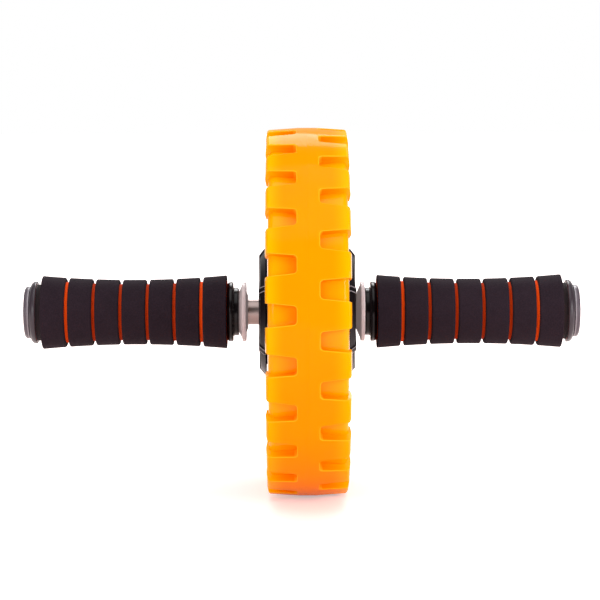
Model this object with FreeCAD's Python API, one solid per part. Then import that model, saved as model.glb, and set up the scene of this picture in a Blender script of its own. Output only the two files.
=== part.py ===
import FreeCAD, Part
import math
import os

# Ab wheel roller: one wide lugged wheel that spins and floats on a steel tube between two foam grips.
# All sizes are in millimetres, and the origin is the middle of the axle.
# The axle lies along X, and +Z is up.

# Tyre
wheel_diameter = 180.0
lug_height = 11.0
sidewall_height = 5.0
bead_height = 4.0
bead_width = 29.0
sidewall_width = 37.4
lug_ledge = 0.5
lug_swell = 0.8
crown_tuck = 1.0
crown_drop = 1.0
shoulder_depth = 6.0
notch_depth = 4.5
notch_taper = 0.4
centre_band_width = 10.8
notch_count = 24
notch_inner_width = 8.2
notch_outer_width = 10.8
notch_corner_radius = 1.2
tread_phase = 9.87
tyre_clearance = 0.05

# Rim halves
rim_wall = 4.0
rim_flange_thickness = 3.0
web_gap = 25.0
web_thickness = 3.0
rim_rib_inset = 0.5
rib_count = 6
rib_width = 3.2
rib_phase = 3.0
barrel_wall = 3.0
barrel_floor = 8.0
bush_boss_wall = 3.4

# Rim screws
screw_diameter = 3.0
screw_length = 15.0
screw_head_diameter = 5.6
screw_head_height = 2.0
screw_head_room = 1.75
screw_clearance = 0.05
screw_hole_clearance = 0.25
pilot_spare = 1.0

# Hub covers
hub_width = 47.0
cover_thickness = 3.5
cover_diameter = 62.2
cover_chamfer = 3.3
cover_rim_height = 0.3
cover_dish = 0.35
cover_boss_diameter = 32.0
cover_boss_height = 0.4
cover_rib_height = 0.7
cover_spigot_wall = 1.8
cover_spigot_length = 4.0
cover_fit_clearance = 0.05

# Bushes
bush_wall = 2.1
bush_gap = 8.1
bush_flange_width = 2.9
bush_flange_thickness = 2.0
bush_flange_clearance = 0.1
bush_proud = 0.15
running_clearance = 0.08

# Axle tube
tube_diameter = 12.7
tube_wall = 1.2

# Spacers
spacer_nose_wall = 1.67
spacer_boss_width = 2.15
spacer_boss_length = 0.8
spacer_cone_width = 5.4
spacer_cone_length = 2.8
spacer_lip = 1.05
spacer_flange_thickness = 1.5
spacer_end_gap = 0.1
side_play = 5.5
thrust_gap = 0.15

# Handle cores
core_wall = 2.45
core_clearance = 0.03
mouth_clearance = 0.35
collar_lip = 1.1
collar_step_length = 2.7
collar_ring_diameter = 29.3
collar_ring_length = 3.2
collar_chamfer = 0.7

# Grips
grip_ring_count = 7
grip_ring_length = 11.55
grip_groove_width = 1.55
sleeve_thickness = 2.7
grip_ring_thickness = 2.1
grip_flare = 2.05
grip_chamfer = 0.7
foam_clearance = 0.05

# End caps
cap_flange_diameter = 27.6
cap_flange_thickness = 2.6
cap_bead_diameter = 30.6
cap_bead_length = 3.6
cap_bead_inner_chamfer = 0.5
cap_bead_outer_chamfer = 1.6
cap_neck_diameter = 23.0
cap_neck_length = 0.4
cap_disc_diameter = 25.6
cap_disc_thickness = 2.1
cap_disc_chamfer = 1.0
plug_step = 2.15
plug_wall = 1.8
plug_length = 8.0
plug_clearance = 0.05
plug_end_gap = 0.4

# Radii that follow from the sizes above
crown_radius = wheel_diameter / 2
lug_foot_radius = crown_radius - lug_height
notch_floor_radius = crown_radius - notch_depth
bead_top_radius = lug_foot_radius - sidewall_height
tyre_bore_radius = bead_top_radius - bead_height
rim_inner_radius = tyre_bore_radius - rim_wall
tube_radius = tube_diameter / 2
bush_bore_radius = tube_radius + running_clearance
bush_radius = bush_bore_radius + bush_wall
hub_bore_radius = bush_radius + running_clearance
bush_boss_radius = hub_bore_radius + bush_boss_wall
screw_circle_radius = bush_boss_radius + screw_head_room + screw_head_diameter / 2
spigot_inner_radius = screw_circle_radius + screw_head_diameter / 2 + screw_head_room
spigot_radius = spigot_inner_radius + cover_spigot_wall
barrel_inner_radius = spigot_radius + cover_fit_clearance
barrel_radius = barrel_inner_radius + barrel_wall
spacer_bore_radius = tube_radius + running_clearance
spacer_nose_radius = spacer_bore_radius + spacer_nose_wall
spacer_boss_radius = spacer_nose_radius + spacer_boss_width
spacer_cone_radius = spacer_nose_radius + spacer_cone_width
plug_radius = tube_radius + plug_step
plug_socket_radius = plug_radius + plug_clearance
core_radius = plug_socket_radius + core_wall
sleeve_bore_radius = core_radius + foam_clearance
sleeve_radius = sleeve_bore_radius + sleeve_thickness
grip_bore_radius = sleeve_radius + foam_clearance
grip_radius = grip_bore_radius + grip_ring_thickness

# Half widths across the tyre
bead_half = bead_width / 2
sidewall_half = sidewall_width / 2
lug_foot_half = sidewall_half + lug_ledge
shoulder_half = lug_foot_half + lug_swell
crown_half = shoulder_half - crown_tuck
notch_floor_half = sidewall_half - notch_taper
centre_band_half = centre_band_width / 2

# Places along the axle, from the wheel's middle out through the hub
hub_face = hub_width / 2
barrel_end = hub_face - cover_thickness
bush_boss_end = barrel_end - bush_flange_thickness - 2 * bush_flange_clearance
web_back = web_gap / 2
web_face = web_back + web_thickness
rim_flange_back = bead_half + tyre_clearance
rim_flange_face = rim_flange_back + rim_flange_thickness
wheel_shift = side_play / 2 - thrust_gap

# Places along the axle, from its middle out through the right handle
spacer_length = spacer_cone_length + spacer_flange_thickness + spacer_boss_length
spacer_inner_end = hub_face + bush_proud + side_play / 2
mouth_floor = spacer_inner_end + spacer_length + spacer_end_gap
collar_face = mouth_floor - spacer_boss_length
collar_step_end = collar_face + collar_step_length
grip_start = collar_step_end + collar_ring_length
grip_pitch = grip_ring_length + grip_groove_width
grip_length = grip_ring_count * grip_pitch - grip_groove_width
grip_end = grip_start + grip_length
plug_end = grip_end - plug_length
tube_end = plug_end - plug_end_gap

ORIGIN = FreeCAD.Vector(0, 0, 0)
AXLE = FreeCAD.Vector(1, 0, 0)
UP = FreeCAD.Vector(0, 0, 1)
FULL_TURN = 360.0
TOLERANCE = 1e-4


def turned(*outline):
    """Solid turned about the axle from corners given as a place along the axle and a radius."""
    corners = [FreeCAD.Vector(along, 0, radius) for along, radius in outline]
    face = Part.Face(Part.makePolygon(corners + corners[:1]))
    return face.revolve(ORIGIN, AXLE, FULL_TURN)


def spaced(solid, count, first_angle):
    """Copies evenly spaced about the axle, the first one turned from the top towards the front."""
    copies = []
    for index in range(count):
        copy = solid.copy()
        copy.rotate(ORIGIN, AXLE, first_angle + index * FULL_TURN / count)
        copies.append(copy)
    return copies


def mirrored(solid):
    """The same piece for the other side of the wheel."""
    return solid.mirror(ORIGIN, AXLE)


def shifted(solid, distance):
    """Copy moved along the axle."""
    copy = solid.copy()
    copy.translate(AXLE * distance)
    return copy


def radial_bar(inner_radius, outer_radius, inner_face, outer_face):
    """Upright bar of a rib's width at the top of the wheel."""
    corner = FreeCAD.Vector(inner_face, -rib_width / 2, inner_radius)
    return Part.makeBox(outer_face - inner_face, rib_width, outer_radius - inner_radius, corner)


def notch_cutter():
    """Upright prism of one right-hand tread notch: rounded at the centre band, flared to the side."""
    flare = (notch_outer_width - notch_inner_width) / 2 / (crown_half - centre_band_half)
    far = 2 * shoulder_half
    near_half = notch_inner_width / 2
    far_half = near_half + flare * (far - centre_band_half)
    base = bead_top_radius
    outline = [
        (centre_band_half, -near_half), (far, -far_half), (far, far_half), (centre_band_half, near_half)]
    corners = [FreeCAD.Vector(along, across, base) for along, across in outline]
    face = Part.Face(Part.makePolygon(corners + corners[:1]))
    prism = face.extrude(UP * (wheel_diameter - base))
    inner_corners = []
    for edge in prism.Edges:
        box = edge.BoundBox
        if box.XLength < TOLERANCE and box.YLength < TOLERANCE and box.XMin < shoulder_half:
            inner_corners.append(edge)
    return prism.makeFillet(notch_corner_radius, inner_corners)


def tyre():
    """Yellow tyre: a plain carcass under a crowned tread whose notches are staggered side to side."""
    shoulder_radius = crown_radius - shoulder_depth
    crown_edge_radius = crown_radius - crown_drop
    carcass = turned(
        (-bead_half, tyre_bore_radius), (-bead_half, bead_top_radius), (-sidewall_half, bead_top_radius),
        (-sidewall_half, lug_foot_radius), (-notch_floor_half, notch_floor_radius),
        (notch_floor_half, notch_floor_radius), (sidewall_half, lug_foot_radius),
        (sidewall_half, bead_top_radius), (bead_half, bead_top_radius), (bead_half, tyre_bore_radius))
    tread = turned(
        (-sidewall_half, lug_foot_radius), (-lug_foot_half, lug_foot_radius),
        (-shoulder_half, shoulder_radius), (-crown_half, crown_edge_radius),
        (-centre_band_half, crown_radius), (centre_band_half, crown_radius),
        (crown_half, crown_edge_radius), (shoulder_half, shoulder_radius),
        (lug_foot_half, lug_foot_radius), (sidewall_half, lug_foot_radius),
        (notch_floor_half, notch_floor_radius), (-notch_floor_half, notch_floor_radius))
    right_notch = notch_cutter()
    half_pitch = FULL_TURN / notch_count / 2
    notches = spaced(mirrored(right_notch), notch_count, tread_phase)
    notches += spaced(right_notch, notch_count, tread_phase + half_pitch)
    return carcass.fuse(tread.cut(notches)).removeSplitter()


def rim_half(screw_hole_radius, screw_hole_depth):
    """Right rim half: tyre seat and flange, ribbed web, and a hub barrel round the bush boss."""
    seat_radius = tyre_bore_radius - tyre_clearance
    flange_radius = bead_top_radius - tyre_clearance
    rib_face = min(rim_flange_face, barrel_end) - rim_rib_inset
    half = turned(
        (0, hub_bore_radius), (0, barrel_radius), (web_back, barrel_radius), (web_back, rim_inner_radius),
        (0, rim_inner_radius), (0, seat_radius), (rim_flange_back, seat_radius),
        (rim_flange_back, flange_radius), (rim_flange_face, flange_radius),
        (rim_flange_face, rim_inner_radius), (web_face, rim_inner_radius), (web_face, barrel_radius),
        (barrel_end, barrel_radius), (barrel_end, barrel_inner_radius),
        (barrel_floor, barrel_inner_radius), (barrel_floor, bush_boss_radius),
        (bush_boss_end, bush_boss_radius), (bush_boss_end, hub_bore_radius))
    rib = radial_bar(barrel_radius - barrel_wall / 2, rim_inner_radius + rim_wall / 2, web_back, rib_face)
    centre = FreeCAD.Vector(0, 0, screw_circle_radius)
    hole = Part.makeCylinder(screw_hole_radius, screw_hole_depth, centre, AXLE)
    ribbed = half.fuse(spaced(rib, rib_count, rib_phase)).removeSplitter()
    return ribbed.cut(spaced(hole, rib_count, rib_phase))


def rim_screws():
    """Pan-head screws that clamp the rim halves, each seated on the right barrel's floor."""
    tip = FreeCAD.Vector(barrel_floor - screw_length, 0, screw_circle_radius)
    seat = FreeCAD.Vector(barrel_floor, 0, screw_circle_radius)
    shank = Part.makeCylinder(screw_diameter / 2, screw_length, tip, AXLE)
    head = Part.makeCylinder(screw_head_diameter / 2, screw_head_height, seat, AXLE)
    return Part.makeCompound(spaced(shank.fuse(head), rib_count, rib_phase))


def hub_cover():
    """Right hub cover: chamfered disc with a raised boss, radial ribs and a push-fit spigot."""
    rim_radius = cover_diameter / 2
    face_edge_radius = rim_radius - cover_chamfer
    boss_radius = cover_boss_diameter / 2
    face_inner = hub_face - cover_boss_height
    face_outer = face_inner - cover_dish
    rim_top = barrel_end + cover_rim_height
    spigot_end = barrel_end - cover_spigot_length
    disc = turned(
        (barrel_end, hub_bore_radius), (hub_face, hub_bore_radius), (hub_face, boss_radius),
        (face_inner, boss_radius), (face_outer, face_edge_radius), (rim_top, rim_radius),
        (barrel_end, rim_radius), (barrel_end, spigot_radius), (spigot_end, spigot_radius),
        (spigot_end, spigot_inner_radius), (barrel_end, spigot_inner_radius))
    rib_skin = turned(
        (face_inner, boss_radius), (hub_face, boss_radius),
        (face_outer + cover_rib_height, face_edge_radius), (rim_top + cover_rib_height, rim_radius),
        (rim_top, rim_radius), (face_outer, face_edge_radius))
    bars = spaced(radial_bar(0, cover_diameter, barrel_end, hub_face), rib_count, rib_phase)
    ribs = rib_skin.common(Part.makeCompound(bars))
    return disc.fuse(ribs.Solids).removeSplitter()


def bush():
    """Right flanged bush, trapped by its flange between the bush boss and the hub cover."""
    inner_end = bush_gap / 2
    nose = hub_face + bush_proud
    flange_radius = bush_radius + bush_flange_width
    flange_back = bush_boss_end + bush_flange_clearance
    flange_face = flange_back + bush_flange_thickness
    return turned(
        (inner_end, bush_bore_radius), (inner_end, bush_radius), (flange_back, bush_radius),
        (flange_back, flange_radius), (flange_face, flange_radius), (flange_face, bush_radius),
        (nose, bush_radius), (nose, bush_bore_radius))


def spacer():
    """Loose spacer, with its cone's end at the origin and its boss further along the axle."""
    flange_radius = spacer_cone_radius + spacer_lip
    flange_end = spacer_cone_length + spacer_flange_thickness
    return turned(
        (0, spacer_bore_radius), (0, spacer_nose_radius), (spacer_cone_length, spacer_cone_radius),
        (spacer_cone_length, flange_radius), (flange_end, flange_radius), (flange_end, spacer_boss_radius),
        (spacer_length, spacer_nose_radius), (spacer_length, spacer_bore_radius))


def handle_core():
    """Right handle core: stepped collar with a mouth for either end of a spacer, and a tube for the foam."""
    bore_radius = tube_radius + core_clearance
    cone_in_mouth = spacer_nose_radius + spacer_cone_width * spacer_boss_length / spacer_cone_length
    mouth_radius = max(spacer_boss_radius, cone_in_mouth) + mouth_clearance
    step_radius = mouth_radius + collar_lip
    ring_radius = collar_ring_diameter / 2
    ring_edge_radius = ring_radius - collar_chamfer
    return turned(
        (collar_face, mouth_radius), (collar_face, step_radius), (collar_step_end, step_radius),
        (collar_step_end, ring_edge_radius), (collar_step_end + collar_chamfer, ring_radius),
        (grip_start - collar_chamfer, ring_radius), (grip_start, ring_edge_radius),
        (grip_start, core_radius), (grip_end, core_radius), (grip_end, plug_socket_radius),
        (tube_end, plug_socket_radius), (tube_end, bore_radius), (mouth_floor, bore_radius),
        (mouth_floor, mouth_radius))


def flared(waist_radius, along):
    """Radius of the waisted grip at a place along it: a circular arc, slimmest in the middle."""
    half_length = grip_length / 2
    arc_radius = (half_length ** 2 + grip_flare ** 2) / (2 * grip_flare)
    from_middle = along - grip_start - half_length
    return waist_radius + arc_radius - math.sqrt(arc_radius ** 2 - from_middle ** 2)


def grip_ring_ends(index):
    """Where one outer foam ring of the right grip starts and ends, counted from the wheel."""
    start = grip_start + index * grip_pitch
    return start, start + grip_ring_length


def grip_sleeve():
    """Right inner foam sleeve, waisted on the outside with a corner under each ring's end."""
    outline = [(grip_start, sleeve_bore_radius)]
    for index in range(grip_ring_count):
        outline += [(along, flared(sleeve_radius, along)) for along in grip_ring_ends(index)]
    outline.append((grip_end, sleeve_bore_radius))
    return turned(*outline)


def grip_ring(index):
    """One outer foam ring of the right grip, with its rims eased."""
    start, end = grip_ring_ends(index)
    start_top = start + grip_chamfer
    end_top = end - grip_chamfer
    return turned(
        (start, flared(grip_bore_radius, start)), (start, flared(grip_radius, start) - grip_chamfer),
        (start_top, flared(grip_radius, start_top)), (end_top, flared(grip_radius, end_top)),
        (end, flared(grip_radius, end) - grip_chamfer), (end, flared(grip_bore_radius, end)))


def end_cap():
    """Right end cap: hollow plug, flange, rounded bead and a flat end disc."""
    plug_inner_radius = plug_radius - plug_wall
    flange_radius = cap_flange_diameter / 2
    bead_radius = cap_bead_diameter / 2
    neck_radius = cap_neck_diameter / 2
    disc_radius = cap_disc_diameter / 2
    flange_end = grip_end + cap_flange_thickness
    bead_end = flange_end + cap_bead_length
    neck_end = bead_end + cap_neck_length
    disc_end = neck_end + cap_disc_thickness
    return turned(
        (plug_end, plug_inner_radius), (plug_end, plug_radius), (grip_end, plug_radius),
        (grip_end, flange_radius), (flange_end, flange_radius),
        (flange_end, bead_radius - cap_bead_inner_chamfer),
        (flange_end + cap_bead_inner_chamfer, bead_radius),
        (bead_end - cap_bead_outer_chamfer, bead_radius),
        (bead_end, bead_radius - cap_bead_outer_chamfer), (bead_end, neck_radius),
        (neck_end, neck_radius), (neck_end, disc_radius), (disc_end - cap_disc_chamfer, disc_radius),
        (disc_end, disc_radius - cap_disc_chamfer), (disc_end, 0), (flange_end, 0),
        (flange_end, plug_inner_radius))


def wheel_pieces():
    """Pieces of the wheel and its bushes, about the wheel's own middle."""
    through_radius = screw_diameter / 2 + screw_hole_clearance
    pilot_radius = screw_diameter / 2 + screw_clearance
    pilot_depth = screw_length - barrel_floor + pilot_spare
    pieces = {"tyre": tyre(), "rim_screws": rim_screws()}
    pieces["right_rim_half"] = rim_half(through_radius, barrel_floor)
    pieces["left_rim_half"] = mirrored(rim_half(pilot_radius, pilot_depth))
    for name, solid in (("hub_cover", hub_cover()), ("bush", bush())):
        pieces["right_" + name] = solid
        pieces["left_" + name] = mirrored(solid)
    return pieces


def handle_pieces():
    """Pieces of the right handle by name."""
    pieces = {"handle_core": handle_core(), "grip_sleeve": grip_sleeve(), "end_cap": end_cap()}
    for index in range(grip_ring_count):
        pieces[f"grip_ring_{index + 1}"] = grip_ring(index)
    return pieces


def all_pieces():
    """Every piece of the roller by name, with the wheel slid to the right-hand end of its play."""
    tube_inner_radius = tube_radius - tube_wall
    pieces = {"axle_tube": turned(
        (-tube_end, tube_inner_radius), (-tube_end, tube_radius),
        (tube_end, tube_radius), (tube_end, tube_inner_radius))}
    for name, solid in wheel_pieces().items():
        pieces[name] = shifted(solid, wheel_shift)
    loose_spacer = spacer()
    pieces["right_spacer"] = shifted(loose_spacer, spacer_inner_end)
    pieces["left_spacer"] = shifted(loose_spacer, -spacer_inner_end - spacer_length)
    for name, solid in handle_pieces().items():
        pieces["right_" + name] = solid
        pieces["left_" + name] = mirrored(solid)
    return pieces


os.makedirs("parts", exist_ok=True)
for piece_name, piece_solid in all_pieces().items():
    piece_solid.exportStep(f"parts/{piece_name}.step")
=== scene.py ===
import math

import bmesh
import bpy
from mathutils import Matrix, Vector


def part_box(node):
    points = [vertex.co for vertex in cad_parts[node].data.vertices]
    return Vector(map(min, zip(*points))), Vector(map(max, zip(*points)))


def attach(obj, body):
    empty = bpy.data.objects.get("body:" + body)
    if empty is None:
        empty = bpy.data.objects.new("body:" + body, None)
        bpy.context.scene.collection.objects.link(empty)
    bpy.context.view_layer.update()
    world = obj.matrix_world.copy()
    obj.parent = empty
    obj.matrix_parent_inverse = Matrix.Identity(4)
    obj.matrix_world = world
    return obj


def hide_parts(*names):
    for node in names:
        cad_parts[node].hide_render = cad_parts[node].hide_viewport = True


# An ab wheel roller. Sizes are in millimetres and become metres as an outline is drawn.
# The axle lies along X, +Z is up, and the origin is the middle of the axle.

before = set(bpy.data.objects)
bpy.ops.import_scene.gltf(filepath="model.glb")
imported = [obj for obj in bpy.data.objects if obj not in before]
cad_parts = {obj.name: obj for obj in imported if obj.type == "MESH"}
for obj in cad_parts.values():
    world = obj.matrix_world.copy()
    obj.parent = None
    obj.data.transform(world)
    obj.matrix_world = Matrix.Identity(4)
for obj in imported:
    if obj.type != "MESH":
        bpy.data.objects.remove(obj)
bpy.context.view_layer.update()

MM = 0.001
ORIGIN = Vector((0.0, 0.0, 0.0))
AXLE = Vector((1.0, 0.0, 0.0))
FULL_TURN = 2 * math.pi
MERGE_REACH = 0.002
ROUND_SEGMENTS = 5
EASE_SEGMENTS = 4
SMOOTH_ANGLE = math.radians(34)
LIP_ANGLE = math.radians(17)
SIDES = ("right", "left")

# Steps of a full turn
HANDLE_STEPS = 96
HUB_STEPS = 144
TYRE_STEPS = 96

# Tyre
LUG_HEIGHT = 11.0
SIDEWALL_HEIGHT = 5.0
BEAD_HEIGHT = 4.0
BEAD_WIDTH = 29.0
SIDEWALL_WIDTH = 37.4
LUG_LEDGE = 0.5
CROWN_TUCK = 1.0
CROWN_DROP = 1.0
SHOULDER_DEPTH = 6.0
NOTCH_DEPTH = 4.5
NOTCH_TAPER = 0.4
CENTRE_BAND_WIDTH = 10.8
NOTCH_COUNT = 24
NOTCH_INNER_WIDTH = 8.2
NOTCH_OUTER_WIDTH = 10.8
NOTCH_CORNER = 1.45
NOTCH_EDGE_ROUND = 0.5
BAND_MARGIN = 1.2
CARCASS_SHIFT = math.radians(0.47)
NOTCH_FLOOR_ROUND = 3.0
LIP_LEVEL = 1.5
TREAD_PHASE = math.radians(9.87)
CROWN_ROUND = 0.9
SHOULDER_ROUND = 2.0
SIDEWALL_ROUND = 1.0
LUG_SINK = 1.0

# Rim halves
RIM_WALL = 4.0
RIM_FLANGE = 3.0
TYRE_CLEARANCE = 0.05
WEB_BACK = 12.5
WEB_THICKNESS = 3.0
RIM_RIB_INSET = 0.5
BARREL_WALL = 3.0
BARREL_FLOOR = 8.0
BARREL_RADIUS = 25.96
HUB_BORE_RADIUS = 8.61
BUSH_BOSS_RADIUS = 12.01
BUSH_BOSS_END = 17.8
RIM_ROUND = 0.6

# Hub covers
COVER_THICKNESS = 3.5
COVER_CHAMFER = 3.3
COVER_RIM_HEIGHT = 0.3
COVER_DISH = 0.35
COVER_BOSS_RADIUS = 16.0
COVER_BOSS_HEIGHT = 0.4
COVER_RIB_HEIGHT = 0.7
COVER_RIB_SHORT = 0.15
COVER_SPIGOT_RADIUS = 22.91
COVER_SPIGOT_WALL = 1.8
COVER_ROUND = 0.5

# Ribs of the rim halves and hub covers
RIB_COUNT = 6
RIB_WIDTH = 3.2
RIB_PHASE = math.radians(3.0)
RIB_SINK = 0.8
RIB_LINE_WIDTH = 0.7

# Spacers
SPACER_BORE_RADIUS = 6.43
SPACER_NOSE_RADIUS = 8.1
SPACER_BOSS_RADIUS = 10.25
SPACER_BOSS_LENGTH = 0.8
SPACER_CONE_LENGTH = 2.3
SPACER_LIP = 1.05
SPACER_ROUND = 0.4

# Handle cores
TUBE_RADIUS = 6.35
CORE_CLEARANCE = 0.03
CORE_RADIUS = 11.0
MOUTH_RADIUS = 10.6
MOUTH_DEPTH = 0.8
COLLAR_STEP_RADIUS = 11.7
COLLAR_STEP_LENGTH = 2.7
COLLAR_STEP_ROUND = 0.7
COLLAR_RING_ROUND = 0.8
COLLAR_BACK_ROUND = 1.9
PLUG_SOCKET_RADIUS = 8.55
PLUG_SOCKET_DEPTH = 8.4

# Grips
RING_COUNT = 7
GRIP_FLARE = 2.05
SLEEVE_BORE_RADIUS = 11.05
SLEEVE_RADIUS = 13.75
RING_BORE_RADIUS = 13.8
RING_RADIUS = 15.9
RING_EDGE_ROUND = 0.9
RING_END_ROUND = 0.5

# End caps
CAP_FLANGE_RADIUS = 13.8
CAP_FLANGE_THICKNESS = 2.6
CAP_FLANGE_ROUND = 0.35
CAP_BEAD_LENGTH = 3.1
CAP_BEAD_FOOT_ROUND = 0.6
CAP_BEAD_ROUND = 2.3
CAP_NECK_RADIUS = 11.5
CAP_NECK_LENGTH = 0.4
CAP_DISC_RADIUS = 12.8
CAP_DISC_ROUND = 1.4
PLUG_RADIUS = 8.5
PLUG_INNER_RADIUS = 6.7
PLUG_LENGTH = 8.0

# Shades: one colour, or the two ends of a clouded one
TREAD_SHADES = ((0.97, 0.246, 0.0), (1.0, 0.278, 0.0))
# Notch floors painted paler than the tread: painted light that lifts the shade in the recesses
NOTCH_PAINTED_LIGHT = (1.0, 0.31, 0.0)
# Shoulders painted paler: painted side light
PAINTED_SHOULDER_LIGHT = (1.0, 0.42, 0.0)
# Painted highlight on the thin rounded lips of the tyre's notches
PAINTED_LIP_HIGHLIGHT = (1.0, 0.40, 0.010)
BLACK_FOAM_SHADES = ((0.009, 0.0046, 0.008), (0.024, 0.0140, 0.021))
ORANGE_FOAM_SHADES = ((0.42, 0.022, 0.0), (0.62, 0.046, 0.001))
# Brighter orange at the grip's ends: painted light, leaving the middle in painted shade
ORANGE_FOAM_LIT_END_SHADE = (0.95, 0.075, 0.002)
HANDLE_SHADES = ((0.003, 0.0016, 0.0024), (0.006, 0.0035, 0.005))
RIM_SHADES = ((0.010, 0.010, 0.010), (0.018, 0.017, 0.018))
COVER_SHADES = ((0.004, 0.0022, 0.003), (0.008, 0.005, 0.007))
# Painted highlight along the edges of the hub covers' ribs
COVER_RIB_PAINTED_HIGHLIGHT = (0.34, 0.30, 0.32)
BUSH_SHADES = ((0.012, 0.012, 0.012), (0.022, 0.02, 0.022))
# Black on the cap's flange: painted shadow in the gap between foam and bead
CAP_FLANGE_PAINTED_SHADOW = (0.008, 0.004, 0.006)
CAP_BEAD_SHADES = ((0.030, 0.022, 0.029), (0.042, 0.032, 0.040))
CAP_DISC_SHADES = ((0.075, 0.059, 0.074), (0.095, 0.077, 0.093))
# Painted highlight line at the cap's neck
CAP_NECK_PAINTED_HIGHLIGHT = (0.36, 0.33, 0.36)
SPACER_SHADES = ((0.54, 0.43, 0.43), (0.62, 0.50, 0.50))
# Painted glow of the spacers, standing in for the light that passes through them
SPACER_PAINTED_GLOW_SHADE = (1.0, 0.84, 0.82, 1.0)
STEEL_SHADES = ((0.30, 0.235, 0.225), (0.40, 0.32, 0.305))
FLOOR_SHADE = (0.98, 0.81, 0.78, 1.0)
WHITE = (1.0, 1.0, 1.0, 1.0)

# Roughness: the two ends of its range
TYRE_ROUGHNESS = (0.4, 0.54)
FOAM_ROUGHNESS = (0.8, 0.95)
CAP_ROUGHNESS = (0.85, 0.35)
SPACER_ROUGHNESS = (0.28, 0.43)
STEEL_ROUGHNESS = (0.26, 0.42)

# What clouds add to roughness or take from it
MOULD_WEAR = 0.12
CAP_POLISH = 0.1

# Finish details
NOTCH_GLOSS_RADIUS = 86.0
TREAD_GLOSS_RADIUS = 87.5
NOTCH_COAT = 1.0
TREAD_COAT = 0.3
# Where the painted side light on the tyre's shoulders begins and where it is full
SHOULDER_PALE_START = 10.0
SHOULDER_PALE_END = 22.0
PARTING_LINE_HALF = 0.25
PARTING_LINE_HEIGHT = 0.06
TYRE_GRAIN_SHARE = 0.05
FOAM_GRAIN_SHARE = 0.6
# Where the painted light at the grip's ends begins and where it is full, as shares of half the
# grip
FOAM_END_START_SHARE = 0.45
FOAM_END_FULL_SHARE = 0.75
CAP_FLANGE_BLUR = 0.2
SPACER_SCATTER = 3.0
STEEL_MARKS = (6000.0, 40.0, 40.0)

# Camera, for a square picture
CAMERA_LENS = 132.0
CAMERA_SENSOR = 36.0
CAMERA_DISTANCE = 1080.0
CAMERA_ELEVATION = math.radians(6.0)
CAMERA_YAW = math.radians(0.25)
CAMERA_ROLL = math.radians(0.18)
AIM_RIGHT = -0.9
AIM_UP = 5.7

# Studio
AMBIENT = 0.5
ROOM_GLOSS = 0.12
ROOM_START = 0.45
ROOM_END = 0.95
FLOOR_SIZE = 12000.0
FLOOR_GLOW = 0.55
FLOOR_GLOW_NEAR = 0.4
FLOOR_GLOW_REACH = 350.0
FLOOR_FAR_START = 300.0
FLOOR_FAR_END = 1200.0

# Lamps: name, place, width and height in metres, power in watts
LAMPS = (
    ("overhead", (0.0, -0.25, 1.1), (1.2, 1.2), 9.0),
    ("behind", (0.1, 1.0, 0.9), (0.75, 0.5), 8.0),
    ("front_left", (-0.75, -1.1, 0.3), (0.7, 0.45), 5.0),
    ("front_right", (1.0, -0.85, 0.3), (0.6, 0.6), 9.0))

# Sockets of a Mix node that mixes colours
MIX_FACTOR = 0
MIX_FIRST = 6
MIX_SECOND = 7
MIX_RESULT = 2


def box_mm(node):
    """Lowest and highest corner of a solid, in millimetres."""
    low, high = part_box(node)
    return low / MM, high / MM


def wheel_middle():
    """Where the middle of the wheel is along the axle."""
    low, high = box_mm("tyre")
    return (low.x + high.x) / 2


def new_point(name):
    """A new piece that is a single point at the origin, open in edit mode."""
    bpy.ops.object.select_all(action="DESELECT")
    bpy.ops.mesh.primitive_plane_add(size=MM, location=ORIGIN)
    piece = bpy.context.object
    piece.name = name
    piece.data.name = name
    bpy.ops.object.mode_set(mode="EDIT")
    bpy.ops.mesh.select_mode(type="VERT")
    bpy.ops.mesh.merge(type="CENTER")
    return piece


def select_points(piece, test):
    """Selects the points of the piece in edit mode whose place passes the test."""
    mesh = bmesh.from_edit_mesh(piece.data)
    for face in mesh.faces:
        face.select = False
    for edge in mesh.edges:
        edge.select = False
    for point in mesh.verts:
        point.select = test(point.co)
    mesh.select_flush(True)
    bmesh.update_edit_mesh(piece.data)


def near(places):
    """A test that a point is at one of these places."""
    return lambda point: any((point - place).length < MERGE_REACH * MM for place in places)


def draw(name, corners, closed=True):
    """A new piece in edit mode: an outline drawn in the upright plane of the axle.

    A corner is its place along the axle, its height and, where it is rounded, by how much.
    """
    piece = new_point(name)
    places = [Vector((corner[0], 0, corner[1])) * MM for corner in corners]
    bpy.ops.transform.translate(value=places[0])
    for start, end in zip(places, places[1:]):
        bpy.ops.mesh.extrude_vertices_move(TRANSFORM_OT_translate={"value": end - start})
    if closed:
        select_points(piece, near((places[0], places[-1])))
        bpy.ops.mesh.edge_face_add()
    for size in sorted({corner[2] for corner in corners if len(corner) > 2}):
        rounded = [place for place, corner in zip(places, corners) if corner[2:] == (size,)]
        select_points(piece, near(rounded))
        bpy.ops.mesh.bevel(offset=size * MM, segments=ROUND_SEGMENTS, affect="VERTICES")
    return piece


def mirrored_outline(right_corners):
    """A closed outline from its right half, with the left half added in turn."""
    left_corners = [(-corner[0], *corner[1:]) for corner in reversed(right_corners)]
    return [*right_corners, *left_corners]


def close_up(piece):
    """Merges doubled points, turns the faces outwards and leaves edit mode."""
    bpy.ops.mesh.select_all(action="SELECT")
    bpy.ops.mesh.remove_doubles(threshold=MERGE_REACH * MM)
    bpy.ops.mesh.normals_make_consistent(inside=False)
    bpy.ops.object.mode_set(mode="OBJECT")
    return piece


def swing(angle):
    """Turns all that is in edit mode about the axle, from the top towards the front."""
    bpy.ops.mesh.select_all(action="SELECT")
    bpy.ops.transform.rotate(value=-angle, orient_axis="X", center_override=ORIGIN)


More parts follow.
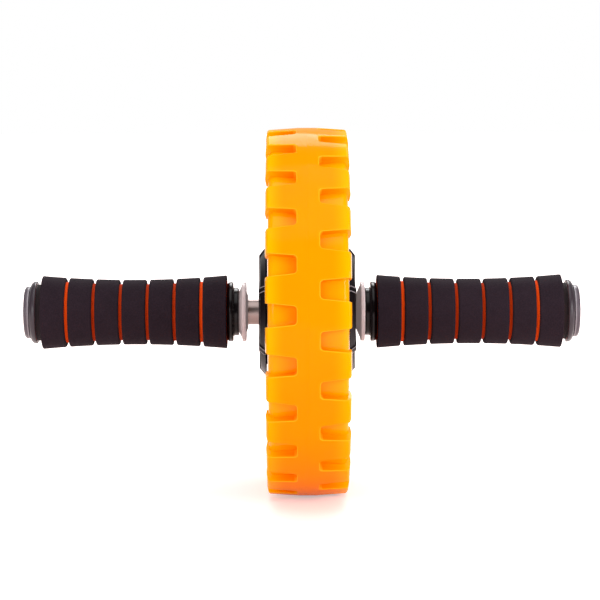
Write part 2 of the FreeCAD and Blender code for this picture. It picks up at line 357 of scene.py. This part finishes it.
def turn(name, corners, closed=True, steps=HANDLE_STEPS, first_angle=0.0):
    """A piece turned about the axle from an outline, begun at an angle."""
    piece = draw(name, corners, closed)
    swing(first_angle)
    bpy.ops.mesh.spin(steps=steps, angle=FULL_TURN, center=ORIGIN, axis=AXLE)
    return close_up(piece)


def block(name, corners, width):
    """An upright block in edit mode: an outline filled in and drawn out across the axle."""
    piece = draw(name, corners)
    bpy.ops.mesh.select_all(action="SELECT")
    bpy.ops.mesh.edge_face_add()
    bpy.ops.transform.translate(value=(0, -width / 2 * MM, 0))
    bpy.ops.mesh.extrude_region_move(TRANSFORM_OT_translate={"value": (0, width * MM, 0)})
    return piece


def fan(piece, count, first_angle):
    """Repeats a piece in edit mode round the axle, begun at an angle, and closes it up."""
    swing(first_angle)
    turn_share = (count - 1) / count
    bpy.ops.mesh.spin(
        steps=count - 1, dupli=True, angle=FULL_TURN * turn_share, center=ORIGIN, axis=AXLE)
    return close_up(piece)


def pick(piece):
    """Selects one piece alone and makes it the active one."""
    bpy.ops.object.select_all(action="DESELECT")
    piece.select_set(True)
    bpy.context.view_layer.objects.active = piece


def edit(piece):
    """Opens a piece in edit mode with all of it selected."""
    pick(piece)
    bpy.ops.object.mode_set(mode="EDIT")
    bpy.ops.mesh.select_all(action="SELECT")


def slide(piece, distance):
    """Moves a piece along the axle."""
    edit(piece)
    bpy.ops.transform.translate(value=AXLE * distance * MM)
    return close_up(piece)


def flip(piece, centre=0.0):
    """Mirrors a piece across a plane square to the axle."""
    edit(piece)
    bpy.ops.transform.resize(value=(-1, 1, 1), center_override=AXLE * centre * MM)
    return close_up(piece)


def other_side(piece, name, centre):
    """A mirrored copy of a piece, with its own mesh."""
    pick(piece)
    bpy.ops.object.duplicate()
    copy = bpy.context.object
    copy.name = name
    copy.data.name = name
    return flip(copy, centre)


def apply_modifier(piece, kind, **settings):
    """Adds a modifier with its settings to a piece and applies it."""
    pick(piece)
    bpy.ops.object.modifier_add(type=kind)
    modifier = piece.modifiers[-1]
    for name, value in settings.items():
        setattr(modifier, name, value)
    bpy.ops.object.modifier_apply(modifier=modifier.name)


def combine(piece, other, operation):
    """Cuts the other piece from this one, or joins the two into one skin, and drops the other."""
    apply_modifier(piece, "BOOLEAN", operation=operation, solver="EXACT", object=other)
    bpy.data.objects.remove(other)


def ease(piece, size, test):
    """Rounds the sharp edges of a piece whose points pass the test."""
    edit(piece)
    bpy.ops.mesh.remove_doubles(threshold=MERGE_REACH * MM)
    bpy.ops.mesh.select_all(action="DESELECT")
    bpy.ops.mesh.edges_select_sharp(sharpness=SMOOTH_ANGLE)
    bpy.ops.mesh.select_mode(type="EDGE")
    mesh = bmesh.from_edit_mesh(piece.data)
    for edge in mesh.edges:
        if not all(test(point.co / MM) for point in edge.verts):
            edge.select = False
    bmesh.update_edit_mesh(piece.data)
    bpy.ops.mesh.bevel(offset=size * MM, segments=EASE_SEGMENTS, clamp_overlap=False)
    bpy.ops.mesh.select_mode(type="VERT")
    bpy.ops.object.mode_set(mode="OBJECT")


def mark_lips(piece, test):
    """Marks the points that pass the test and lie inside a rounded edge, for a painted highlight.
    """
    edit(piece)
    mesh = bmesh.from_edit_mesh(piece.data)
    lip = mesh.verts.layers.float.new("lip")
    for point in mesh.verts:
        ways = [face.normal for face in point.link_faces]
        bend = max((way.angle(other, 0.0) for way in ways for other in ways), default=0.0)
        point[lip] = float(LIP_ANGLE < bend < SMOOTH_ANGLE and test(point.co / MM))
    bmesh.update_edit_mesh(piece.data)
    bpy.ops.object.mode_set(mode="OBJECT")


def smooth(piece):
    """Shades rounded edges smoothly and keeps broad faces flat between them."""
    pick(piece)
    bpy.ops.object.shade_smooth_by_angle(angle=SMOOTH_ANGLE)
    apply_modifier(piece, "WEIGHTED_NORMAL", keep_sharp=True)


def paint(mesh, material):
    """Gives a mesh one finish all over."""
    mesh.materials.clear()
    mesh.materials.append(material)


def settle(piece, body, node, material):
    """Shades a finished piece, gives it its body and material, and hides the solid it stands for.
    """
    smooth(piece)
    paint(piece.data, material)
    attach(piece, body)
    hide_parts(node)
    return piece


def settle_pair(right, name, body, node, material, centre=0.0):
    """Settles a right piece and a mirrored copy of it on the left."""
    pair = (right, other_side(right, f"left_{name}", centre))
    return [
        settle(piece, body, f"{side}_{node}", material)
        for side, piece in zip(SIDES, pair)]


def notch_cutter(inner_half, shoulder_half, base, top):
    """A tapered block for a right-hand notch: rounded at the centre band and flared outwards."""
    crown_half = shoulder_half - CROWN_TUCK
    flare = (NOTCH_OUTER_WIDTH - NOTCH_INNER_WIDTH) / 2 / (crown_half - inner_half)
    far = 2 * shoulder_half
    far_width = NOTCH_INNER_WIDTH + 2 * flare * (far - inner_half)
    corners = ((inner_half, base), (far, base), (far, top), (inner_half, top))
    piece = block("notches", corners, NOTCH_INNER_WIDTH)
    select_points(piece, lambda point: point.x > shoulder_half * MM)
    bpy.ops.transform.resize(value=(1, far_width / NOTCH_INNER_WIDTH, 1), center_override=ORIGIN)
    select_points(piece, lambda point: point.x < shoulder_half * MM)
    bpy.ops.mesh.bevel(offset=NOTCH_CORNER * MM, segments=ROUND_SEGMENTS)
    return piece


def tyre():
    """Tyre: a crowned lug ring with staggered notches, joined to a plain carcass."""
    low, high = box_mm("tyre")
    crown = high.z
    shoulder_half = (high.x - low.x) / 2
    wall_half = SIDEWALL_WIDTH / 2
    foot_half = wall_half + LUG_LEDGE
    floor_half = wall_half - NOTCH_TAPER
    crown_half = shoulder_half - CROWN_TUCK
    band_half = CENTRE_BAND_WIDTH / 2
    bead_half = BEAD_WIDTH / 2
    foot = crown - LUG_HEIGHT
    floor = crown - NOTCH_DEPTH
    bead_top = foot - SIDEWALL_HEIGHT
    bore = bead_top - BEAD_HEIGHT
    right_edge = (
        (band_half - BAND_MARGIN, crown), (crown_half, crown - CROWN_DROP, CROWN_ROUND),
        (shoulder_half, crown - SHOULDER_DEPTH, SHOULDER_ROUND), (foot_half, foot),
        (wall_half - LUG_SINK, foot), (floor_half - LUG_SINK, floor - LUG_SINK))
    clear_of_notches = TREAD_PHASE + FULL_TURN / TYRE_STEPS / 2
    lugs = turn(
        "lug_tyre", mirrored_outline(right_edge), steps=TYRE_STEPS, first_angle=clear_of_notches)
    for side in SIDES:
        cutters = notch_cutter(band_half, shoulder_half, bead_top, crown + LUG_HEIGHT)
        stagger = FULL_TURN / NOTCH_COUNT / 2 if side == "right" else 0.0
        fan(cutters, NOTCH_COUNT, TREAD_PHASE + stagger)
        if side == "left":
            flip(cutters)
        combine(lugs, cutters, "DIFFERENCE")
    right_wall = (
        (floor_half, floor, NOTCH_FLOOR_ROUND), (wall_half, foot),
        (wall_half, bead_top, SIDEWALL_ROUND), (bead_half, bead_top), (bead_half, bore))
    carcass = turn(
        "carcass", mirrored_outline(right_wall), steps=TYRE_STEPS,
        first_angle=clear_of_notches - CARCASS_SHIFT)
    combine(lugs, carcass, "UNION")

    def at_lip(point):
        return math.hypot(point.y, point.z) > floor + LIP_LEVEL

    ease(lugs, NOTCH_EDGE_ROUND, at_lip)
    mark_lips(lugs, at_lip)
    return slide(lugs, wheel_middle())


def grip_radius(waist, along):
    """Radius of a waisted grip at a place along the right handle: a circular arc."""
    start = box_mm("right_grip_ring_1")[0].x
    end = box_mm(f"right_grip_ring_{RING_COUNT}")[1].x
    half = (end - start) / 2
    arc = (half ** 2 + GRIP_FLARE ** 2) / (2 * GRIP_FLARE)
    return waist + arc - math.sqrt(arc ** 2 - (along - start - half) ** 2)


def grip_ring(number):
    """One outer foam ring of the right grip, waisted with the grip and rounded at its rims."""
    low, high = box_mm(f"right_grip_ring_{number}")
    middle = (low.x + high.x) / 2
    inner_round = RING_END_ROUND if number == 1 else RING_EDGE_ROUND
    outer_round = RING_END_ROUND if number == RING_COUNT else RING_EDGE_ROUND
    corners = [
        (low.x, grip_radius(RING_BORE_RADIUS, low.x)),
        (low.x, grip_radius(RING_RADIUS, low.x), inner_round),
        (middle, grip_radius(RING_RADIUS, middle)),
        (high.x, grip_radius(RING_RADIUS, high.x), outer_round),
        (high.x, grip_radius(RING_BORE_RADIUS, high.x))]
    return turn(f"right_foam_ring_{number}", corners)


def grip_sleeve():
    """Inner foam sleeve of the right grip, which shows between the rings."""
    low, high = box_mm("right_grip_sleeve")
    corners = [(low.x, SLEEVE_BORE_RADIUS)]
    for number in range(1, RING_COUNT + 1):
        for end in box_mm(f"right_grip_ring_{number}"):
            corners.append((end.x, grip_radius(SLEEVE_RADIUS, end.x)))
    corners.append((high.x, SLEEVE_BORE_RADIUS))
    return turn("right_foam_sleeve", corners)


def handle_core():
    """Right handle core: a stepped collar at the wheel and a tube under the foam."""
    low, high = box_mm("right_handle_core")
    ring = high.z
    grip_start = box_mm("right_grip_sleeve")[0].x
    step_end = low.x + COLLAR_STEP_LENGTH
    socket = high.x - PLUG_SOCKET_DEPTH
    bore = TUBE_RADIUS + CORE_CLEARANCE
    corners = (
        (low.x, MOUTH_RADIUS), (low.x, COLLAR_STEP_RADIUS, COLLAR_STEP_ROUND),
        (step_end, COLLAR_STEP_RADIUS, COLLAR_STEP_ROUND), (step_end, ring, COLLAR_RING_ROUND),
        (grip_start, ring, COLLAR_BACK_ROUND), (grip_start, CORE_RADIUS), (high.x, CORE_RADIUS),
        (high.x, PLUG_SOCKET_RADIUS), (socket, PLUG_SOCKET_RADIUS), (socket, bore),
        (low.x + MOUTH_DEPTH, bore), (low.x + MOUTH_DEPTH, MOUTH_RADIUS))
    return turn("right_core", corners)


def end_cap():
    """Right end cap: a hollow plug, a flange, a rounded bead and a flat end disc."""
    low, high = box_mm("right_end_cap")
    bead = high.z
    flange = low.x + PLUG_LENGTH
    flange_end = flange + CAP_FLANGE_THICKNESS
    bead_end = flange_end + CAP_BEAD_LENGTH
    neck_end = bead_end + CAP_NECK_LENGTH
    corners = (
        (flange_end, 0.0), (flange_end, PLUG_INNER_RADIUS), (low.x, PLUG_INNER_RADIUS),
        (low.x, PLUG_RADIUS), (flange, PLUG_RADIUS),
        (flange, CAP_FLANGE_RADIUS, CAP_FLANGE_ROUND),
        (flange_end, CAP_FLANGE_RADIUS), (flange_end, bead, CAP_BEAD_FOOT_ROUND),
        (bead_end, bead, CAP_BEAD_ROUND), (bead_end, CAP_NECK_RADIUS), (neck_end, CAP_NECK_RADIUS),
        (neck_end, CAP_DISC_RADIUS, CAP_FLANGE_ROUND), (high.x, CAP_DISC_RADIUS, CAP_DISC_ROUND),
        (high.x, 0.0))
    return turn("right_cap", corners, closed=False)


def spacer(node):
    """A loose spacer: a cone that opens to a thin flange, with a low boss behind it."""
    low, high = box_mm(node)
    cone_end = low.x + SPACER_CONE_LENGTH
    flange_end = high.x - SPACER_BOSS_LENGTH
    corners = (
        (low.x, SPACER_BORE_RADIUS), (low.x, SPACER_NOSE_RADIUS), (cone_end, high.z - SPACER_LIP),
        (cone_end, high.z, SPACER_ROUND), (flange_end, high.z, SPACER_ROUND),
        (flange_end, SPACER_BOSS_RADIUS), (high.x, SPACER_NOSE_RADIUS),
        (high.x, SPACER_BORE_RADIUS))
    return turn(f"{node}_ring", corners)


def hub_cover():
    """Right hub cover: a chamfered disc with a boss, ribs and a spigot."""
    low, high = box_mm("right_hub_cover")
    middle = wheel_middle()
    face = high.x - middle
    spigot_end = low.x - middle
    rim = high.z
    back = face - COVER_THICKNESS
    face_inner = face - COVER_BOSS_HEIGHT
    face_outer = face_inner - COVER_DISH
    edge = rim - COVER_CHAMFER
    rim_top = back + COVER_RIM_HEIGHT
    spigot_inner = COVER_SPIGOT_RADIUS - COVER_SPIGOT_WALL
    disc = turn("right_cover", (
        (back, HUB_BORE_RADIUS), (face, HUB_BORE_RADIUS), (face, COVER_BOSS_RADIUS),
        (face_inner, COVER_BOSS_RADIUS), (face_outer, edge, COVER_ROUND),
        (rim_top, rim), (back, rim),
        (back, COVER_SPIGOT_RADIUS), (spigot_end, COVER_SPIGOT_RADIUS), (spigot_end, spigot_inner),
        (back, spigot_inner)), steps=HUB_STEPS)
    rib_end = rim - COVER_RIB_SHORT
    ribs = block("cover_ribs", (
        (face_inner, COVER_BOSS_RADIUS - RIB_SINK), (face, COVER_BOSS_RADIUS - RIB_SINK),
        (face_outer + COVER_RIB_HEIGHT, edge), (rim_top + COVER_RIB_HEIGHT, rib_end),
        (rim_top, rib_end), (face_outer - RIB_SINK, edge - RIB_SINK)), RIB_WIDTH)
    fan(ribs, RIB_COUNT, RIB_PHASE)
    combine(disc, ribs, "UNION")
    return slide(disc, middle)


def rim_half():
    """Right rim half: tyre seat and flange, ribbed web and hub barrel."""
    high = box_mm("right_rim_half")[1]
    middle = wheel_middle()
    barrel_end = high.x - middle
    flange_top = high.z
    bead_top = flange_top + TYRE_CLEARANCE
    seat = bead_top - BEAD_HEIGHT - TYRE_CLEARANCE
    rim_inner = bead_top - BEAD_HEIGHT - RIM_WALL
    flange_back = BEAD_WIDTH / 2 + TYRE_CLEARANCE
    flange_face = flange_back + RIM_FLANGE
    web_face = WEB_BACK + WEB_THICKNESS
    rib_face = min(flange_face, barrel_end) - RIM_RIB_INSET
    barrel_inner = BARREL_RADIUS - BARREL_WALL
    half = turn("right_rim", (
        (0.0, HUB_BORE_RADIUS), (0.0, BARREL_RADIUS), (WEB_BACK, BARREL_RADIUS),
        (WEB_BACK, rim_inner), (0.0, rim_inner), (0.0, seat),
        (flange_back, seat), (flange_back, flange_top),
        (flange_face, flange_top, RIM_ROUND), (flange_face, rim_inner, RIM_ROUND),
        (web_face, rim_inner, RIM_ROUND), (web_face, BARREL_RADIUS, RIM_ROUND),
        (barrel_end, BARREL_RADIUS, RIM_ROUND), (barrel_end, barrel_inner),
        (BARREL_FLOOR, barrel_inner), (BARREL_FLOOR, BUSH_BOSS_RADIUS),
        (BUSH_BOSS_END, BUSH_BOSS_RADIUS), (BUSH_BOSS_END, HUB_BORE_RADIUS)), steps=HUB_STEPS)
    inner = BARREL_RADIUS - RIB_SINK
    outer = rim_inner + RIB_SINK
    ribs = block("rim_ribs", (
        (WEB_BACK + RIB_SINK, inner), (rib_face, inner), (rib_face, outer),
        (WEB_BACK + RIB_SINK, outer)), RIB_WIDTH)
    fan(ribs, RIB_COUNT, RIB_PHASE)
    combine(half, ribs, "UNION")
    return slide(half, middle)


class Wire:
    """A shader socket that takes part in Python sums, each of which adds a Math node."""

    def __init__(self, socket):
        self.socket = socket

    def node(self, kind, inputs, output=0, **settings):
        """Adds a node: its settings come first, then a value or a wire for each of its inputs."""
        made = self.socket.id_data.nodes.new(kind)
        for name, value in settings.items():
            setattr(made, name, value)
        for key, value in inputs.items():
            feed(made.inputs[key], value)
        return Wire(made.outputs[output])

    def sum(self, operation, *values):
        """A Math node on values or wires."""
        return self.node("ShaderNodeMath", dict(enumerate(values)), operation=operation)

    def __add__(self, other):
        return self.sum("ADD", self, other)

    def __radd__(self, other):
        return self.sum("ADD", other, self)

    def __sub__(self, other):
        return self.sum("SUBTRACT", self, other)

    def __rsub__(self, other):
        return self.sum("SUBTRACT", other, self)

    def __mul__(self, other):
        return self.sum("MULTIPLY", self, other)

    def __rmul__(self, other):
        return self.sum("MULTIPLY", other, self)


def feed(socket, value):
    """Sets a socket's value, or links a wire to it."""
    if isinstance(value, Wire):
        socket.id_data.links.new(value.socket, socket)
    else:
        socket.default_value = value


def new_finish(name, constants):
    """A new material, its shader with constants set, and a wire of Object coordinates."""
    material = bpy.data.materials.new(name)
    material.use_nodes = True
    nodes = material.node_tree.nodes
    shader = nodes["Principled BSDF"]
    for socket, value in constants.items():
        feed(shader.inputs[socket], value)
    place = Wire(nodes.new("ShaderNodeTexCoord").outputs["Object"])
    return material, shader, place


def noise(place, scale, detail=2.0):
    """Soft cloudy noise with a number of clouds to the metre."""
    return place.node("ShaderNodeTexNoise", {"Vector": place, "Scale": scale, "Detail": detail})


def stretched(place, scale):
    """Coordinates scaled apart along X, Y and Z."""
    return place.node("ShaderNodeMapping", {"Vector": place, "Scale": scale}, vector_type="POINT")


def blend(factor, first, second):
    """A colour between two colours, each three numbers or a wire."""
    pair = [colour if isinstance(colour, Wire) else (*colour, 1.0) for colour in (first, second)]
    inputs = {MIX_FACTOR: factor, MIX_FIRST: pair[0], MIX_SECOND: pair[1]}
    return factor.node("ShaderNodeMix", inputs, output=MIX_RESULT, data_type="RGBA")


def between(factor, first, second):
    """A value that goes from one number to another as the factor goes from 0 to 1."""
    return first + (second - first) * factor


def bumped(height, depth, strength=1.0):
    """A normal from a height between 0 and 1 and the depth that it stands for."""
    inputs = {"Height": height, "Distance": depth * MM, "Strength": strength}
    return height.node("ShaderNodeBump", inputs)


def size_of(value):
    """A value without its sign."""
    return value.sum("ABSOLUTE", value)


def coordinate(place, axis):
    """One of a place's three coordinates."""
    return place.node("ShaderNodeSeparateXYZ", {0: place}, output=axis)


def from_axle(place):
    """The distance from the axle."""
    flat = place.node("ShaderNodeVectorMath", {0: place, 1: (0.0, 1.0, 1.0)}, operation="MULTIPLY")
    return flat.node("ShaderNodeVectorMath", {0: flat}, output="Value", operation="LENGTH")


def step_up(value, start, end, unit=MM):
    """0 up to the start, 1 from the end on, and smooth between them, in millimetres or a unit."""
    inputs = {"Value": value, "From Min": start * unit, "From Max": end * unit}
    return value.node("ShaderNodeMapRange", inputs, interpolation_type="SMOOTHSTEP")


def ridge(along, centre, half_width):
    """A line: 1 at its middle, falling to 0 at its sides."""
    return 1.0 - step_up(size_of(along - centre * MM), 0.0, half_width)


def rib_edges(place):
    """Thin lines along both edges of each rib of a hub cover, where a highlight is painted."""
    side = coordinate(place, "Y")
    height = coordinate(place, "Z")
    angle = side.sum("ARCTAN2", -1.0 * side, height) - RIB_PHASE
    half_pitch = FULL_TURN / RIB_COUNT / 2
    from_rib = angle.sum("WRAP", angle, half_pitch, -half_pitch)
    radius = from_axle(place)
    offset = size_of(radius * from_rib.sum("SINE", from_rib))
    line = ridge(offset, RIB_WIDTH / 2 - RIB_LINE_WIDTH / 2, RIB_LINE_WIDTH / 2)
    return line * step_up(radius, COVER_BOSS_RADIUS, COVER_BOSS_RADIUS + RIB_LINE_WIDTH)


def tyre_finish():
    """Satin yellow-orange compound, faintly clouded, with a parting line.

    It is glossier in the notches. Its notch floors, shoulders and thin lips are painted paler:
    painted light in the shaded notches, painted side light on the shoulders and a painted
    highlight on the lips.
    """
    material, shader, place = new_finish("tyre_compound", {
        "Specular IOR Level": 0.0, "Coat IOR": 1.2, "Coat Roughness": 0.1})
    cloud = noise(place, scale=45.0, detail=3.0)
    grain = noise(place, scale=2600.0)
    along = coordinate(place, "X")
    middle = wheel_middle()
    line = ridge(along, middle, PARTING_LINE_HALF)
    lip = place.node("ShaderNodeAttribute", {}, output="Fac", attribute_name="lip")
    shoulder_light = step_up(size_of(along - middle * MM), SHOULDER_PALE_START, SHOULDER_PALE_END)
    tread = step_up(from_axle(place), NOTCH_GLOSS_RADIUS, TREAD_GLOSS_RADIUS)
    body = blend(cloud, *TREAD_SHADES)
    # Painted light: the notch floors are paler than the tread
    body = blend(tread, NOTCH_PAINTED_LIGHT, body)
    # Painted side light: paler towards both shoulders
    body = blend(shoulder_light, body, PAINTED_SHOULDER_LIGHT)
    skin = line + TYRE_GRAIN_SHARE * grain
    feed(shader.inputs["Coat Weight"], between(tread, NOTCH_COAT, TREAD_COAT))
    # The marked lips get a painted highlight in the base colour
    feed(shader.inputs["Base Color"], blend(lip, body, PAINTED_LIP_HIGHLIGHT))
    feed(shader.inputs["Roughness"], between(cloud, *TYRE_ROUGHNESS))
    feed(shader.inputs["Normal"], bumped(skin, depth=PARTING_LINE_HEIGHT))
    return material


def foam_finish(name, shades, ends=None):
    """Fine-pored foam: matt, with small pits and a soft unevenness, and painted light at the ends
    if given.
    """
    material, shader, place = new_finish(name, {"Specular IOR Level": 0.12})
    pits = place.node("ShaderNodeTexVoronoi", {"Vector": place, "Scale": 1500.0}, feature="F1")
    cloud = noise(place, scale=120.0, detail=4.0)
    grain = noise(place, scale=3500.0)
    body = blend(0.5 * (cloud + pits), *shades)
    # Painted light at both ends of the grip, so that its middle grooves read as shaded
    if ends:
        low, high = box_mm("right_grip_sleeve")
        half = (high.x - low.x) / 2
        from_middle = size_of(size_of(coordinate(place, "X")) - (low.x + half) * MM)
        at_end = step_up(from_middle, FOAM_END_START_SHARE * half, FOAM_END_FULL_SHARE * half)
        body = blend(at_end, body, ends)
    skin = pits + FOAM_GRAIN_SHARE * grain
    feed(shader.inputs["Base Color"], body)
    feed(shader.inputs["Roughness"], between(grain, *FOAM_ROUGHNESS))
    feed(shader.inputs["Normal"], bumped(skin, depth=0.12, strength=0.7))
    return material


def moulded_skin(shader, place):
    """Gives moulded plastic a faint orange-peel skin, and returns its clouds."""
    peel = noise(place, scale=900.0)
    feed(shader.inputs["Normal"], bumped(peel, depth=0.02, strength=0.4))
    return noise(place, scale=90.0, detail=4.0)


def moulded_finish(name, shades, roughness, specular=0.5, rib_highlight=None):
    """Moulded plastic with a little wear in its gloss, and a painted highlight on rib edges if
    given.
    """
    material, shader, place = new_finish(name, {"Specular IOR Level": specular})
    cloud = moulded_skin(shader, place)
    body = blend(cloud, *shades)
    # Painted highlight along the rib edges
    if rib_highlight:
        body = blend(rib_edges(place), body, rib_highlight)
    feed(shader.inputs["Base Color"], body)
    feed(shader.inputs["Roughness"], roughness + MOULD_WEAR * cloud)
    return material


def cap_finish():
    """End cap plastic: a flange painted black as shadow, a dark bead, a grey disc, a painted neck
    highlight.
    """
    material, shader, place = new_finish("cap_plastic", {"Specular IOR Level": 0.35})
    flange_end = box_mm("right_end_cap")[0].x + PLUG_LENGTH + CAP_FLANGE_THICKNESS
    neck = flange_end + CAP_BEAD_LENGTH + CAP_NECK_LENGTH / 2
    disc = neck + CAP_NECK_LENGTH
    outward = size_of(coordinate(place, "X"))
    cloud = moulded_skin(shader, place)
    past_flange = step_up(outward, flange_end - CAP_FLANGE_BLUR, flange_end)
    # Painted shadow on the flange
    colour = blend(past_flange, CAP_FLANGE_PAINTED_SHADOW, blend(cloud, *CAP_BEAD_SHADES))
    colour = blend(step_up(outward, neck, disc), colour, blend(cloud, *CAP_DISC_SHADES))
    # Painted highlight at the neck
    colour = blend(ridge(outward, disc, 2 * CAP_NECK_LENGTH), colour, CAP_NECK_PAINTED_HIGHLIGHT)
    feed(shader.inputs["Base Color"], colour)
    feed(shader.inputs["Roughness"], between(past_flange, *CAP_ROUGHNESS) - CAP_POLISH * cloud)
    return material


def spacer_finish():
    """Milky translucent plastic with a faint painted glow for the light that passes through it."""
    material, shader, place = new_finish("spacer_plastic", {
        "Transmission Weight": 0.1, "IOR": 1.46, "Subsurface Weight": 1.0,
        "Subsurface Radius": (1.0, 0.95, 0.95), "Subsurface Scale": SPACER_SCATTER * MM,
        "Emission Color": SPACER_PAINTED_GLOW_SHADE, "Emission Strength": 0.1})
    cloud = noise(place, scale=180.0, detail=3.0)
    feed(shader.inputs["Base Color"], blend(cloud, *SPACER_SHADES))
    feed(shader.inputs["Roughness"], between(cloud, *SPACER_ROUGHNESS))
    feed(shader.inputs["Normal"], bumped(cloud, depth=0.03, strength=0.3))
    return material


def steel_finish(name):
    """Bright drawn steel with fine turning marks round it."""
    material, shader, place = new_finish(name, {"Metallic": 1.0})
    marks = noise(stretched(place, STEEL_MARKS), scale=1.0, detail=3.0)
    feed(shader.inputs["Base Color"], blend(marks, *STEEL_SHADES))
    feed(shader.inputs["Roughness"], between(marks, *STEEL_ROUGHNESS))
    feed(shader.inputs["Normal"], bumped(marks, depth=0.004, strength=0.5))
    return material


def build_wheel():
    """The wheel: tyre, rim halves and hub covers."""
    settle(tyre(), "wheel", "tyre", tyre_finish())
    middle = wheel_middle()
    rim_black = moulded_finish("rim_plastic", RIM_SHADES, roughness=0.38)
    cover_black = moulded_finish(
        "cover_plastic", COVER_SHADES, roughness=0.3, specular=0.12, rib_highlight=COVER_RIB_PAINTED_HIGHLIGHT)
    settle_pair(rim_half(), "rim", "wheel", "rim_half", rim_black, middle)
    settle_pair(hub_cover(), "cover", "wheel", "hub_cover", cover_black, middle)


def build_handles():
    """Both handles: cores, end caps and foam."""
    black = moulded_finish("handle_plastic", HANDLE_SHADES, roughness=0.16, specular=0.2)
    foam = foam_finish("black_foam", BLACK_FOAM_SHADES)
    orange = foam_finish("orange_foam", ORANGE_FOAM_SHADES, ORANGE_FOAM_LIT_END_SHADE)
    settle_pair(handle_core(), "core", "handlebar", "handle_core", black)
    settle_pair(end_cap(), "cap", "handlebar", "end_cap", cap_finish())
    soft = [(grip_sleeve(), "foam_sleeve", "grip_sleeve", "foam_orange", orange)]
    for number in range(1, RING_COUNT + 1):
        soft.append((
            grip_ring(number), f"foam_ring_{number}", f"grip_ring_{number}", "foam_black", foam))
    for right, name, node, slot, material in soft:
        for piece in settle_pair(right, name, "handlebar", node, material):
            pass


def build_spacers():
    """Both loose spacers."""
    milky = spacer_finish()
    for side in SIDES:
        node = f"{side}_spacer"
        settle(spacer(node), node, node, milky)


def dress_solids():
    """Finishes for the solids that stay as they are."""
    bush_black = moulded_finish("bush_plastic", BUSH_SHADES, roughness=0.35)
    finishes = {
        "axle_tube": steel_finish("tube_steel"), "rim_screws": steel_finish("screw_steel"),
        "right_bush": bush_black, "left_bush": bush_black}
    for node, material in finishes.items():
        paint(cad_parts[node].data, material)


def build_floor():
    """Pale floor under the wheel, white to the camera, with a soft reflection and shadow."""
    bpy.ops.object.select_all(action="DESELECT")
    bpy.ops.mesh.primitive_plane_add(
        size=FLOOR_SIZE * MM, location=(0.0, 0.0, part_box("tyre")[0].z))
    floor = bpy.context.object
    floor.name = "floor"
    material = bpy.data.materials.new("floor_white")
    material.use_nodes = True
    nodes = material.node_tree.nodes
    nodes.clear()
    output = nodes.new("ShaderNodeOutputMaterial")
    path = nodes.new("ShaderNodeLightPath")
    seen = Wire(path.outputs["Is Camera Ray"]) + Wire(path.outputs["Is Glossy Ray"])
    seen = seen + Wire(path.outputs["Is Transmission Ray"])
    place = Wire(nodes.new("ShaderNodeTexCoord").outputs["Object"])
    distance = place.node("ShaderNodeVectorMath", {0: place}, output="Value", operation="LENGTH")
    level = between(step_up(distance, 0.0, FLOOR_GLOW_REACH), FLOOR_GLOW_NEAR, FLOOR_GLOW)
    level = level + (1.0 - FLOOR_GLOW) * step_up(distance, FLOOR_FAR_START, FLOOR_FAR_END)
    paper = seen.node("ShaderNodeBsdfDiffuse", {"Color": FLOOR_SHADE})
    glow = seen.node("ShaderNodeEmission", {"Color": WHITE, "Strength": level * seen})
    feed(output.inputs["Surface"], seen.node("ShaderNodeAddShader", {0: paper, 1: glow}))
    paint(floor.data, material)


def build_world():
    """White surroundings, softer as light, with a dim room before the wheel in reflections."""
    world = bpy.data.worlds.new("studio")
    bpy.context.scene.world = world
    world.use_nodes = True
    nodes = world.node_tree.nodes
    path = nodes.new("ShaderNodeLightPath")
    direct = Wire(path.outputs["Is Camera Ray"]) + Wire(path.outputs["Is Transmission Ray"])
    mirrored = Wire(path.outputs["Is Glossy Ray"])
    lit = 1.0 - direct - mirrored
    direction = Wire(nodes.new("ShaderNodeTexCoord").outputs["Generated"])
    past_room = step_up(coordinate(direction, "Y"), ROOM_START, ROOM_END, unit=1.0)
    gloss = between(past_room, ROOM_GLOSS, 1.0)
    background = nodes["Background"]
    feed(background.inputs["Color"], WHITE)
    feed(background.inputs["Strength"], direct + gloss * mirrored + AMBIENT * lit)


def build_lights():
    """Soft lamps overhead, behind and at each front corner, all turned to the wheel."""
    for name, place, (width, height), power in LAMPS:
        bpy.ops.object.light_add(type="AREA", location=place)
        lamp = bpy.context.object
        lamp.name = name
        lamp.data.shape = "RECTANGLE"
        lamp.data.size = width
        lamp.data.size_y = height
        lamp.data.energy = power
        lamp.rotation_euler = (-Vector(place)).to_track_quat("-Z", "Y").to_euler()


def build_camera():
    """Camera in front of the wheel, a little above the axle."""
    aim = Vector((AIM_RIGHT, 0.0, AIM_UP)) * MM
    level = math.cos(CAMERA_ELEVATION)
    back = Vector((
        -level * math.sin(CAMERA_YAW), -level * math.cos(CAMERA_YAW), math.sin(CAMERA_ELEVATION)))
    bpy.ops.object.camera_add(location=aim + back * CAMERA_DISTANCE * MM)
    camera = bpy.context.object
    facing = (-back).to_track_quat("-Z", "Y").to_matrix()
    camera.rotation_euler = (facing @ Matrix.Rotation(-CAMERA_ROLL, 3, "Z")).to_euler()
    camera.data.lens = CAMERA_LENS
    camera.data.sensor_width = CAMERA_SENSOR
    bpy.context.scene.camera = camera


build_wheel()
build_handles()
build_spacers()
dress_solids()
build_floor()
build_world()
build_lights()
build_camera()
bpy.context.scene.view_settings.view_transform = "Standard"
